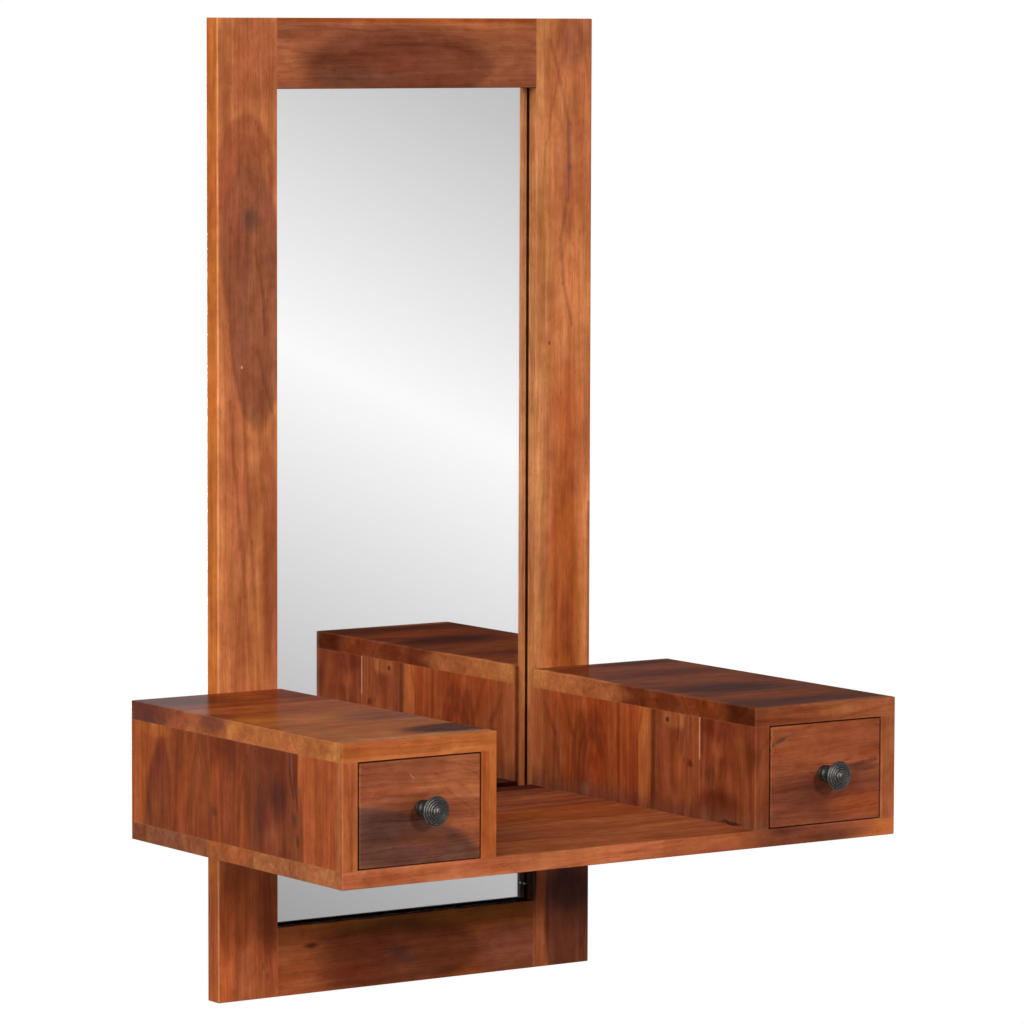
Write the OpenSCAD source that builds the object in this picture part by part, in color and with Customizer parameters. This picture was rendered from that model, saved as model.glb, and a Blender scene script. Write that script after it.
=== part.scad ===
// Wall mirror in a hardwood frame, with a shelf across it and a drawer box at each end.
// X runs to the right, Y towards the wall and Z up, in millimetres. The origin lies on the
// wall plane, midway between the two keyholes that the frame hangs by.

/* [Frame] */
// Width of the mirror frame
frame_w = 416; // [400:1:440]
// Height of the mirror frame
frame_h = 905; // [800:5:1000]
// Thickness of the frame's boards
frame_t = 19; // [18:0.5:22]
// Width of each upright stile
stile_w = 64; // [60:1:70]
// Height of the top and bottom rails
rail_h = 65; // [60:1:80]
// Distance from the top of the frame down to the keyholes
hang_drop = 60; // [55:1:90]

/* [Mirror] */
// Thickness of the wooden lip in front of the glass
lip_t = 11.5; // [8:0.5:11.5]
// Width of the rebate that holds the glass behind the lip
rebate_w = 10; // [8:0.5:11]
// Thickness of the mirror glass
glass_t = 4; // [3:0.5:4]
// Thickness of the panel that closes the back
panel_t = 2; // [1.5:0.5:2]

/* [Shelf] */
// Width of the shelf board
shelf_w = 600; // [580:1:640]
// Depth of the shelf board in front of the frame
shelf_d = 356; // [330:1:380]
// Thickness of the shelf board
shelf_t = 16; // [16:0.5:20]
// Height of the shelf's underside above the bottom of the frame
shelf_rise = 161; // [120:1:250]

/* [Drawer boxes] */
// Width of one drawer box
box_w = 159.5; // [150:0.5:165]
// Height of a drawer box, from the shelf's underside to its top
box_h = 127; // [115:1:160]
// Thickness of the board on top of a box
top_t = 17; // [16:0.5:20]
// Thickness of a box's upright boards
side_t = 16; // [14:0.5:18]

/* [Drawers] */
// Gap between a drawer and the boards at its left, right and top
drawer_gap = 1.5; // [1:0.1:2.5]
// Height of a drawer front's lower edge above the shelf
front_lift = 1; // [0.5:0.1:2]
// Thickness of a drawer front
front_t = 16; // [14:0.5:18]
// Thickness of a drawer's sides and back
drawer_t = 12; // [10:0.5:13]
// Height of a drawer's sides
drawer_h = 78; // [60:1:80]
// Thickness of a drawer's bottom panel
bottom_t = 4; // [3:0.5:5]

/* [Knobs] */
// Largest diameter of a knob
knob_d = 26.5; // [24:0.5:30]
// How far a knob stands out from the drawer front
knob_l = 29; // [26:0.5:32]
// Distance of a knob's axis from the middle of its drawer front, towards the mirror's middle
knob_in = 1.8; // [0:0.1:4]
// How much higher the left knob is fitted than the right one
left_knob_rise = 2.5; // [0:0.1:4]

/* [Hidden] */
$fn = 48;

// Planes of the frame
frame_top = hang_drop;
frame_bottom = hang_drop - frame_h;
opening_w = frame_w - 2 * stile_w;
opening_top = frame_top - rail_h;
opening_bottom = frame_bottom + rail_h;
stile_x = (frame_w - stile_w) / 2;
rebate_y = lip_t - frame_t;
rebate_x = opening_w / 2 + rebate_w;

// The pane and the layers behind it, all of one outline
pane_play = 1;
pane_w = opening_w + 2 * (rebate_w - pane_play);
pane_h = opening_top - opening_bottom + 2 * (rebate_w - pane_play);
pane_z = opening_bottom - rebate_w + pane_play;
silver_t = 0.2;
silver_y = rebate_y + glass_t;
panel_y = silver_y + silver_t;

// Planes of the shelf and of the drawer boxes
shelf_z = frame_bottom + shelf_rise;
deck_z = shelf_z + shelf_t;
front_y = -frame_t - shelf_d;
side_h = box_h - shelf_t - top_t;
side_top = deck_z + side_h;
box_outer_x = shelf_w / 2;
box_inner_x = box_outer_x - box_w;
bay_x = box_inner_x + side_t;
bay_w = box_w - 2 * side_t;
box_back_y = -frame_t - side_t;

// A drawer, which runs between the box's sides and shuts against its stop
front_w = bay_w - 2 * drawer_gap;
front_x = bay_x + drawer_gap;
front_z = deck_z + front_lift;
front_h = side_h - front_lift - drawer_gap;
drawer_y = front_y + front_t;
stop_l = 14;
stop_w = 40;
stop_h = 14;
drawer_end = box_back_y - stop_l;
groove_d = 5;
groove_play = 0.2;
bottom_lift = 6;
bottom_z = deck_z + bottom_lift;
front_mid_x = front_x + front_w / 2;
knob_x = front_mid_x - knob_in;
function knob_z(side) = front_z + front_h / 2 + (side < 0 ? left_knob_rise : 0);

// Dowels and the holes they are glued into
frame_dowel_r = 4;
frame_dowel_l = 50;
frame_dowel_step = 26;
dowel_r = 3;
dowel_thin = 10;
dowel_thick = 14;
side_dowel_inset = [30, 15];
side_dowel_y = [front_y + side_dowel_inset[0], front_y + shelf_d / 2, box_back_y - side_dowel_inset[1]];
back_dowel_inset = 20;
back_dowel_z = [deck_z + back_dowel_inset, side_top - back_dowel_inset];
top_dowel_inset = 16;
front_dowel_z = [deck_z + 24, deck_z + drawer_h - top_dowel_inset];
end_dowel_z = [deck_z + 28, deck_z + drawer_h - top_dowel_inset];

// Screws through the stiles, as radius of the shank, of its clearance and of the head
screw_r = 2.25;
screw_clear_r = 2.5;
screw_head_r = 4.4;
shelf_screw_l = 58;
shelf_screw_x = [box_inner_x + 23, box_inner_x + 54];
box_screw_l = 32;
box_screw_x = [box_inner_x + 28, box_inner_x + 54];
box_screw_z = deck_z + side_h / 2;

// Brads that hold the back panel in the rebate
brad_r = 0.6;
brad_l = 16;
brad_y = panel_y + panel_t + brad_r;
brad_inset = 60;
brad_gaps = 4;
brad_step = (opening_top - opening_bottom - 2 * brad_inset) / brad_gaps;
brad_side_z = [for (i = [0 : brad_gaps]) opening_bottom + brad_inset + i * brad_step];
brad_rail_x = [-80, 0, 80];
drawer_pin_step = 52;

// Steel pins that stand in the lip beside the glass, near its lower end
pin_r = 1;
pin_l = 12;
pin_out = 4;
pin_y = rebate_y - pin_r;
pin_rise = 15;
pin_z = opening_bottom + pin_rise;

// Keyhole plates, let in flush with the back of the stiles
plate_w = 18;
plate_t = 2;
plate_low = -17;
plate_high = 25;
keyhole_r = 4.5;
keyslot_r = 2.25;
keyslot_rise = 9;
key_pocket = [12, 7, 21];
key_pocket_low = -keyhole_r - 2;
plate_screw_z = [-11.5, 19.5];
plate_screw_r = 1.5;
plate_screw_head_r = 2.9;
plate_screw_l = 14;

// Knob screw
knob_screw_r = 2;
knob_screw_clear_r = 2.2;
knob_screw_in = 12;
knob_head_r = 4;
knob_head_t = 2.4;

// Everything that comes in pairs is drawn on the right and mirrored for the left
module at_side(side) {
    if (side < 0) mirror([1, 0, 0]) children();
    else children();
}

module both_sides() {
    for (side = [-1, 1]) at_side(side) children();
}

// A board from its lowest corner to its highest
module board(low, high) {
    translate(low) cube(high - low);
}

// Round pegs along each axis, from a start point
module peg_x(at, r, l) {
    translate(at) rotate([0, 90, 0]) cylinder(r = r, h = l);
}

module peg_y(at, r, l) {
    translate(at) rotate([-90, 0, 0]) cylinder(r = r, h = l);
}

module peg_z(at, r, l) {
    translate(at) cylinder(r = r, h = l);
}

// A countersunk screw that points to -Y, with the top of its head on the plane y
module countersunk(x, y, z, r, head_r, l) {
    translate([x, y, z]) rotate([90, 0, 0]) {
        cylinder(r1 = head_r, r2 = r, h = head_r - r);
        cylinder(r = r, h = l);
    }
}

// The layers in the rebate share the pane's outline
module pane(y, t) {
    translate([-pane_w / 2, y, pane_z]) cube([pane_w, t, pane_h]);
}

// --- Frame ---

module frame_dowel_pair(z_mid) {
    for (dz = [-1, 1] * frame_dowel_step / 2) {
        peg_x([(opening_w - frame_dowel_l) / 2, -frame_t / 2, z_mid + dz], frame_dowel_r, frame_dowel_l);
    }
}

// The dowels sit away from the rebate, in the outer part of each rail
module frame_dowels_right() {
    frame_dowel_pair(frame_top - (rail_h - rebate_w) / 2);
    frame_dowel_pair(frame_bottom + (rail_h - rebate_w) / 2);
}

module frame_dowels() {
    color("burlywood") both_sides() frame_dowels_right();
}

module brads_right() {
    for (z = brad_side_z) peg_x([rebate_x - brad_l / 2, brad_y, z], brad_r, brad_l);
}

module brads_rails() {
    for (x = brad_rail_x) {
        peg_z([x, brad_y, opening_top + rebate_w - brad_l / 2], brad_r, brad_l);
        peg_z([x, brad_y, opening_bottom - rebate_w - brad_l / 2], brad_r, brad_l);
    }
}

module panel_brads() {
    color("silver") {
        both_sides() brads_right();
        brads_rails();
    }
}

module glass_pin_right() {
    peg_x([opening_w / 2 - pin_out, pin_y, pin_z], pin_r, pin_l);
}

module glass_pins() {
    color("silver") both_sides() glass_pin_right();
}

module shelf_screws_right(r, l) {
    for (x = shelf_screw_x) countersunk(x, 0, shelf_z + shelf_t / 2, r, screw_head_r, l);
}

module box_screws_right(r, l) {
    for (x = box_screw_x) countersunk(x, 0, box_screw_z, r, screw_head_r, l);
}

module shelf_screws() {
    color("silver") both_sides() shelf_screws_right(screw_r, shelf_screw_l);
}

module box_screws() {
    color("silver") both_sides() box_screws_right(screw_r, box_screw_l);
}

// The plate's outline and the pocket behind its keyhole
module plate_blank() {
    board([stile_x - plate_w / 2, -plate_t, plate_low], [stile_x + plate_w / 2, 0, plate_high]);
}

module plate_pocket() {
    translate([stile_x - key_pocket[0] / 2, -plate_t - key_pocket[1], key_pocket_low]) cube(key_pocket);
}

module plate_screws_right() {
    for (z = plate_screw_z) {
        countersunk(stile_x, 0, z, plate_screw_r, plate_screw_head_r, plate_screw_l);
    }
}

module keyhole_plates() {
    color("gainsboro") both_sides() difference() {
        plate_blank();
        peg_y([stile_x, -plate_t - 1, 0], keyhole_r, plate_t + 2);
        peg_y([stile_x, -plate_t - 1, keyslot_rise], keyslot_r, plate_t + 2);
        translate([stile_x - keyslot_r, -plate_t - 1, 0]) cube([2 * keyslot_r, plate_t + 2, keyslot_rise]);
        plate_screws_right();
    }
}

module keyhole_screws() {
    color("silver") both_sides() plate_screws_right();
}

module stile(side) {
    color("sienna") at_side(side) difference() {
        board([opening_w / 2, -frame_t, frame_bottom], [frame_w / 2, 0, frame_top]);
        board([opening_w / 2 - 1, rebate_y, opening_bottom - rebate_w],
              [rebate_x, 1, opening_top + rebate_w]);
        frame_dowels_right();
        brads_right();
        glass_pin_right();
        shelf_screws_right(screw_clear_r, frame_t + 1);
        box_screws_right(screw_clear_r, frame_t + 1);
        plate_blank();
        plate_pocket();
        plate_screws_right();
    }
}

module rail(z) {
    difference() {
        board([-opening_w / 2, -frame_t, z], [opening_w / 2, 0, z + rail_h]);
        board([-opening_w / 2 - 1, rebate_y, opening_bottom - rebate_w],
              [opening_w / 2 + 1, 1, opening_top + rebate_w]);
        both_sides() frame_dowels_right();
        brads_rails();
    }
}

module top_rail() {
    color("saddlebrown") rail(opening_top);
}

module bottom_rail() {
    color("saddlebrown") rail(frame_bottom);
}

// --- Mirror ---

module mirror_glass() {
    color("lightcyan", 0.6) pane(rebate_y, glass_t);
}

module mirror_silvering() {
    color("silver") pane(silver_y, silver_t);
}

module back_panel() {
    color("tan") pane(panel_y, panel_t);
}

// --- Shelf and drawer boxes ---

// The upright dowels of a box's two sides, from their lower ends up
module upright_dowels(z_low, l) {
    for (x = [box_outer_x - side_t / 2, box_inner_x + side_t / 2], y = side_dowel_y) {
        peg_z([x, y, z_low], dowel_r, l);
    }
}

module box_dowels_right() {
    upright_dowels(deck_z - dowel_thin, dowel_thin + dowel_thick);
    upright_dowels(side_top - dowel_thick, dowel_thin + dowel_thick);
    for (z = back_dowel_z) {
        peg_x([bay_x - dowel_thin, box_back_y + side_t / 2, z], dowel_r, dowel_thin + dowel_thick);
        peg_x([bay_x + bay_w - dowel_thick, box_back_y + side_t / 2, z], dowel_r, dowel_thin + dowel_thick);
    }
}

module box_dowels(side) {
    color("burlywood") at_side(side) box_dowels_right();
}

module shelf_board() {
    color("chocolate") difference() {
        board([-shelf_w / 2, front_y, shelf_z], [shelf_w / 2, -frame_t, deck_z]);
        both_sides() {
            box_dowels_right();
            shelf_screws_right(screw_r, shelf_screw_l);
        }
    }
}

// An upright side of a box, which starts at x
module box_side(side, x) {
    color("peru") at_side(side) difference() {
        board([x, front_y, deck_z], [x + side_t, -frame_t, side_top]);
        box_dowels_right();
    }
}

module box_outer_side(side) {
    box_side(side, box_outer_x - side_t);
}

module box_inner_side(side) {
    box_side(side, box_inner_x);
}

module box_top(side) {
    color("sienna") at_side(side) difference() {
        board([box_inner_x, front_y, side_top], [box_outer_x, -frame_t, side_top + top_t]);
        box_dowels_right();
    }
}

module box_back(side) {
    color("peru") at_side(side) difference() {
        board([bay_x, box_back_y, deck_z], [bay_x + bay_w, -frame_t, side_top]);
        box_dowels_right();
        box_screws_right(screw_r, box_screw_l);
    }
}

module drawer_stop(side) {
    color("burlywood") at_side(side) {
        board([front_mid_x - stop_w / 2, drawer_end, deck_z],
              [front_mid_x + stop_w / 2, box_back_y, deck_z + stop_h]);
    }
}

// --- Drawers ---

module drawer_dowels_right() {
    for (z = front_dowel_z, x = [front_x + drawer_t / 2, front_x + front_w - drawer_t / 2]) {
        peg_y([x, drawer_y - dowel_thin, z], dowel_r, dowel_thin + dowel_thick);
    }
    for (z = end_dowel_z) {
        peg_x([front_x + drawer_t - dowel_thin, drawer_end - drawer_t / 2, z],
              dowel_r, dowel_thin + dowel_thick);
        peg_x([front_x + front_w - drawer_t - dowel_thick, drawer_end - drawer_t / 2, z],
              dowel_r, dowel_thin + dowel_thick);
    }
}

module drawer_dowels(side) {
    color("burlywood") at_side(side) drawer_dowels_right();
}

// The bottom panel slides into grooves in the sides and the front, under the back
module drawer_bottom_blank(play) {
    board([front_x + drawer_t - groove_d + play, drawer_y - groove_d + play, bottom_z],
          [front_x + front_w - drawer_t + groove_d - play, drawer_end, bottom_z + bottom_t]);
}

module drawer_pins_right() {
    for (dx = [-1, 1] * drawer_pin_step / 2) {
        peg_z([front_mid_x + dx, drawer_end - drawer_t / 2, bottom_z], brad_r, brad_l);
    }
}

module drawer_pins(side) {
    color("silver") at_side(side) drawer_pins_right();
}

module drawer_front(side) {
    color("sienna") at_side(side) difference() {
        board([front_x, front_y, front_z], [front_x + front_w, drawer_y, front_z + front_h]);
        drawer_bottom_blank(0);
        drawer_dowels_right();
        peg_y([knob_x, front_y - 1, knob_z(side)], knob_screw_clear_r, front_t + 2);
    }
}

// A drawer side, which starts at x
module drawer_side(side, x) {
    color("burlywood") at_side(side) difference() {
        board([x, drawer_y, deck_z], [x + drawer_t, drawer_end, deck_z + drawer_h]);
        drawer_bottom_blank(0);
        drawer_dowels_right();
    }
}

module drawer_outer_side(side) {
    drawer_side(side, front_x + front_w - drawer_t);
}

module drawer_inner_side(side) {
    drawer_side(side, front_x);
}

module drawer_back(side) {
    color("burlywood") at_side(side) difference() {
        board([front_x + drawer_t, drawer_end - drawer_t, bottom_z + bottom_t],
              [front_x + front_w - drawer_t, drawer_end, deck_z + drawer_h]);
        drawer_dowels_right();
        drawer_pins_right();
    }
}

module drawer_bottom(side) {
    color("tan") at_side(side) difference() {
        drawer_bottom_blank(groove_play);
        drawer_pins_right();
    }
}

// --- Knobs ---

// Half-round rings on the face of the head, from its rim in towards the crown
function face_rings(r0, r1, z0, z1, count, depth) =
    [for (i = [0 : count - 1], a = [0 : 30 : 150])
        let (t = (i + (1 - cos(a)) / 2) / count)
        [r0 + (r1 - r0) * t, z0 + (z1 - z0) * t + depth * sin(a)]];

// Points on a quarter ellipse, from radius r at height z up to the crown
function dome(r, z, rise, steps) =
    [for (i = [0 : steps]) [r * cos(90 * i / steps), z + rise * sin(90 * i / steps)]];

// The turned outline of the knob, as radius and distance from the drawer front
knob_r = knob_d / 2;
knob_rim_z = 0.76 * knob_l;
knob_face_z = knob_rim_z + 1.4;
knob_crown_z = knob_l - 3.5;
knob_crown_r = 6.2;
knob_profile = concat(
    [[0, 0], [7.2, 0], [7.2, 1.2], [6.8, 1.8], [7.5, 3], [7.7, 4.6], [7.3, 6.2], [6.6, 7.8]],
    [[5.8, 9.6], [5.4, 11.4], [5.6, 13.2], [6.6, 15], [8.6, 16.8]],
    [[knob_r - 2.2, knob_rim_z - 3], [knob_r - 0.7, knob_rim_z - 1.5]],
    [[knob_r, knob_rim_z - 0.3], [knob_r, knob_rim_z + 0.4], [knob_r - 0.4, knob_rim_z + 1]],
    face_rings(knob_r - 1.2, knob_crown_r, knob_face_z, knob_crown_z, 3, 0.7),
    dome(knob_crown_r, knob_crown_z, knob_l - knob_crown_z, 5)
);

module knob(side) {
    color("dimgray") at_side(side) translate([knob_x, front_y, knob_z(side)]) rotate([90, 0, 0]) {
        difference() {
            rotate_extrude($fn = 64) polygon(knob_profile);
            translate([0, 0, -1]) cylinder(r = knob_screw_r, h = knob_screw_in + 1);
        }
    }
}

module knob_screw(side) {
    color("silver") at_side(side) {
        peg_y([knob_x, front_y - knob_screw_in, knob_z(side)], knob_screw_r, knob_screw_in + front_t);
        peg_y([knob_x, drawer_y, knob_z(side)], knob_head_r, knob_head_t);
    }
}

stile(-1);  // left_stile
stile(1);  // right_stile
top_rail();
bottom_rail();
frame_dowels();
mirror_glass();
mirror_silvering();
back_panel();
panel_brads();
glass_pins();
keyhole_plates();
keyhole_screws();
shelf_board();
shelf_screws();
box_screws();
box_outer_side(-1);  // left_box_outer_side
box_inner_side(-1);  // left_box_inner_side
box_top(-1);  // left_box_top
box_back(-1);  // left_box_back
box_dowels(-1);  // left_box_dowels
drawer_stop(-1);  // left_drawer_stop
box_outer_side(1);  // right_box_outer_side
box_inner_side(1);  // right_box_inner_side
box_top(1);  // right_box_top
box_back(1);  // right_box_back
box_dowels(1);  // right_box_dowels
drawer_stop(1);  // right_drawer_stop
drawer_front(-1);  // left_drawer_front
drawer_outer_side(-1);  // left_drawer_outer_side
drawer_inner_side(-1);  // left_drawer_inner_side
drawer_back(-1);  // left_drawer_back
drawer_bottom(-1);  // left_drawer_bottom
drawer_dowels(-1);  // left_drawer_dowels
drawer_pins(-1);  // left_drawer_pins
knob(-1);  // left_knob
knob_screw(-1);  // left_knob_screw
drawer_front(1);  // right_drawer_front
drawer_outer_side(1);  // right_drawer_outer_side
drawer_inner_side(1);  // right_drawer_inner_side
drawer_back(1);  // right_drawer_back
drawer_bottom(1);  // right_drawer_bottom
drawer_dowels(1);  // right_drawer_dowels
drawer_pins(1);  // right_drawer_pins
knob(1);  // right_knob
knob_screw(1);  // right_knob_screw
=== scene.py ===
# Wall mirror in a lacquered hardwood frame, with a shelf across it and two drawer boxes.
# Looks only: the boards' sizes and places come from the imported frame, and the marks in their
# wood are given one by one. Settings are in millimetres and sRGB hex colours, and each
# dictionary stands beside the code that uses it.
import math
from functools import partial

import bmesh
import bpy
from mathutils import Matrix, Vector


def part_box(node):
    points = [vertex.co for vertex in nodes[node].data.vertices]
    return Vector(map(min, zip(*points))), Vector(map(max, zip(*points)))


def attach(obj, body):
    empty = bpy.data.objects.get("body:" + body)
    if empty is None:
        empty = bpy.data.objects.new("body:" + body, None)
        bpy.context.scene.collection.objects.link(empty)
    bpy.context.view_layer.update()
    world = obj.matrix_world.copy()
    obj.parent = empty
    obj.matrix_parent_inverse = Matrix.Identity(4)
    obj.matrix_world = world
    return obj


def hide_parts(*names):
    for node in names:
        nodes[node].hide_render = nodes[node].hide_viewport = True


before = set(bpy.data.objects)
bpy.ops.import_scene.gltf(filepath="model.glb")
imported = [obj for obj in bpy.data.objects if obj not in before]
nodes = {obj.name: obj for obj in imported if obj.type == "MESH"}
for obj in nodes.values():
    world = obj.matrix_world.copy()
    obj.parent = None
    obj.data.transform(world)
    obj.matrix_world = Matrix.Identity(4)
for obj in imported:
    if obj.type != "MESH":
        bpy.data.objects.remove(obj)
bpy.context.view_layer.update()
scene = bpy.context.scene
mm = 0.001
sides = ("left", "right")
print("frame loaded:", len(nodes), "nodes")


# the stains and lacquer tones of this one wood, from grain lines and knots to rubbed edges
woodTones = {
    "pitch": "1a100a", "tar": "301310", "oxblood": "4a1608", "smoke": "44241e", "ash": "4a2f2c",
    "olive": "452f08", "bark": "54261a", "rust": "602010", "walnut": "5e2e1c", "umber": "603c30",
    "mahogany": "6a2c18", "clove": "663218", "cocoa": "6c3624", "ember": "862c08",
    "nutmeg": "7c3a1e", "clay": "7a4430", "chestnut": "80401e", "henna": "8c3c0c",
    "sienna": "8a4526", "mauve": "80483c", "leather": "8b4e33", "russet": "964620",
    "saddle": "964e2c", "brick": "a04820", "tan": "9b5232", "dust": "8a5c48", "copper": "a85628",
    "cinnamon": "a35c38", "terracotta": "b25a2e", "toffee": "b0623a", "honey": "ba682e",
    "caramel": "bd7040", "amber": "ca6c26", "straw": "bd7c4a", "wheat": "cc864c",
    "rubbed": "da9a6a",
}


def hexColour(tone):
    code = woodTones.get(tone, tone)  # a wood tone's name or a hex value
    channels = [int(code[i:i + 2], 16) / 255 for i in (0, 2, 4)]
    linear = [c / 12.92 if c <= 0.04045 else ((c + 0.055) / 1.055) ** 2.4 for c in channels]
    return (*linear, 1.0)


def addNode(tree, kind, *values, **settings):
    # a node with its settings, and its outputs as the answer. A word after the kind is its
    # operation. Values and links go to the sockets in order, or by name in a dictionary.
    # Stops are a colour ramp's, and bounds are a range's: from, from, to and to.
    kind, *operation = kind.split()
    node = tree.nodes.new("ShaderNode" + kind)
    if operation:
        node.operation = operation[0]
    for name, value in settings.items():
        if name == "stops":
            elements = node.color_ramp.elements
            while len(elements) < len(value):
                elements.new(1.0)
            for element, (position, colour) in zip(elements, value):
                element.position = position
                element.color = colour
        elif name == "stopKind":
            node.color_ramp.interpolation = value
        elif name == "bounds":
            for socket, bound in zip(("From Min", "From Max", "To Min", "To Max"), value):
                node.inputs[socket].default_value = bound
        else:
            setattr(node, name, value)
    sockets = dict(enumerate(values))
    if values and isinstance(values[-1], dict):
        sockets.update(sockets.pop(len(values) - 1))
    for name, value in sockets.items():
        if isinstance(value, bpy.types.NodeSocket):
            tree.links.new(value, node.inputs[name])
        else:
            node.inputs[name].default_value = value
    return node.outputs


def newMaterial(name):
    # an empty material, and what adds nodes to it
    material = bpy.data.materials.new(name)
    material.use_nodes = True
    material.node_tree.nodes.clear()
    return material, partial(addNode, material.node_tree)


def stretchedNoise(add, place, sizes, detail):
    # noise with grains of these sizes
    scaled = add("VectorMath MULTIPLY", {0: place, 1: tuple(1 / size for size in sizes)})[0]
    return add("TexNoise", {"Vector": scaled, "Scale": 1.0, "Detail": detail})


def selectAlone(piece):
    bpy.ops.object.select_all(action="DESELECT")
    piece.select_set(True)
    bpy.context.view_layer.objects.active = piece


def startAlone(piece):
    # one object selected and in edit mode, with nothing selected inside it
    selectAlone(piece)
    bpy.ops.object.mode_set(mode="EDIT")
    bpy.ops.mesh.select_all(action="DESELECT")


joining = {"distance": 0.01, "angle": 0.5}  # closer points are one, and flatter faces are one


def copyOfNode(name, newName):
    # the node's mesh in a new object, with its loose triangles joined to whole faces
    piece = bpy.data.objects.new(newName, nodes[name].data.copy())
    scene.collection.objects.link(piece)
    startAlone(piece)
    bpy.ops.mesh.select_all(action="SELECT")
    bpy.ops.mesh.remove_doubles(threshold=joining["distance"] * mm)
    bpy.ops.mesh.dissolve_limited(angle_limit=math.radians(joining["angle"]))
    bpy.ops.object.mode_set(mode="OBJECT")
    return piece


def smoothShade(piece, angle):
    selectAlone(piece)
    bpy.ops.object.shade_smooth_by_angle(angle=math.radians(angle))


def dress(piece, body, material, replaced):
    piece.data.materials.clear()
    piece.data.materials.append(material)
    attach(piece, body)
    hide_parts(replaced)
    return piece


# The camera stands where a fit to the corners of the frame and of the boxes, and to their
# mirror images, put it.
view = {
    "place": (-2785.18, -4271.03, 61.76),
    "turn": 34.32,  # degrees to the right of the wall's normal
    "down": 5.19,
    "roll": 0.18,
    "lens": 191.79,
    "sensor": 36,
    "clip": (100, 50000),
}
cameraData = bpy.data.cameras.new("camera")
cameraData.sensor_width = view["sensor"]
cameraData.lens = view["lens"]
cameraData.clip_start, cameraData.clip_end = [distance * mm for distance in view["clip"]]
camera = bpy.data.objects.new("camera", cameraData)
camera.matrix_world = (
    Matrix.Translation(Vector(view["place"]) * mm)
    @ Matrix.Rotation(math.radians(-view["turn"]), 4, "Z")
    @ Matrix.Rotation(math.radians(90 - view["down"]), 4, "X")
    @ Matrix.Rotation(math.radians(view["roll"]), 4, "Z")
)
scene.collection.objects.link(camera)
scene.camera = camera
scene.view_settings.view_transform = "Standard"
print("camera set")


studio = {
    "bandHeight": -0.0792,  # of the bright band where the mirror turns the camera's eye, radians
    "bandSlope": 0.446,
    "facing": 0.5990,  # the way that the mirror turns it, radians from the wall's normal
    "band": [(0.0, "fdfdfd"), (0.06, "c7c7c7"), (0.12, "919191"), (0.5, "8a8a8a")],
    "behind": "5c5c5c",  # what lights the object from behind the wall's plane
    "wall": (-0.1, 0.2),  # where the space in front passes into the space behind
}


def makeWorld():
    # White for the camera, and behind the object for metal, lacquer and glass too. In front of
    # it a soft studio with one bright band lights the object and shows in the mirror, and a
    # dim grey lights it from behind.
    world = bpy.data.worlds.new("studio")
    world.use_nodes = True
    scene.world = world
    world.node_tree.nodes.clear()
    add = partial(addNode, world.node_tree)
    apart = add("SeparateXYZ", add("TexCoord")["Generated"])
    height = add("Math ARCSINE", apart[2])[0]
    front = add("Math MULTIPLY", apart[1], -1.0)[0]
    turn = add("Math ARCTAN2", apart[0], front)[0]
    slope = studio["bandSlope"]
    lean = add("Math MULTIPLY_ADD", turn, slope, -studio["bandHeight"] - slope * studio["facing"])[0]
    away = add("Math ADD", height, lean)[0]
    away = add("Math ABSOLUTE", away)[0]
    stops = [(at, hexColour(code)) for at, code in studio["band"]]
    band = add("ValToRGB", away, stops=stops)[0]
    behind = add("MapRange", apart[1], interpolation_type="SMOOTHSTEP", bounds=studio["wall"])[0]
    room = add("MixRGB", behind, band, hexColour(studio["behind"]))[0]
    roomLight = add("Background", room, 1.0)[0]
    path = add("LightPath")
    whole = add("Math MAXIMUM", behind, path["Is Camera Ray"])[0]
    backdrop = add("MixRGB", whole, band, hexColour("ffffff"))[0]
    backdrop = add("Background", backdrop, 1.0)[0]
    shown = add("Math MAXIMUM", path["Is Camera Ray"], path["Is Glossy Ray"])[0]
    shown = add("Math MAXIMUM", shown, path["Is Transmission Ray"])[0]
    seen = add("MixShader", shown, roomLight, backdrop)[0]
    add("OutputWorld", seen)


# The rear lamp stands just under the horizon, so that it lights the back alone.
lamps = {
    "key": {"towards": (-1, -21, 6.9), "strength": 1.5, "angle": 8},
    "leftFill": {"towards": (-10, -5, 4), "strength": 2.35, "angle": 50},
    "rearFill": {"towards": (1, 10, -0.7), "strength": 2.3, "angle": 6},
}


def makeLamp(name, lamp):
    data = bpy.data.lights.new(name, "SUN")
    data.energy = lamp["strength"]
    data.angle = math.radians(lamp["angle"])
    piece = bpy.data.objects.new(name, data)
    piece.rotation_euler = Vector(lamp["towards"]).to_track_quat("Z", "Y").to_euler()
    scene.collection.objects.link(piece)


floorSettings = {"height": -1350, "radius": 2000, "fadeFrom": 1000, "tones": ("efeeeb", "f6f5f2")}


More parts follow.
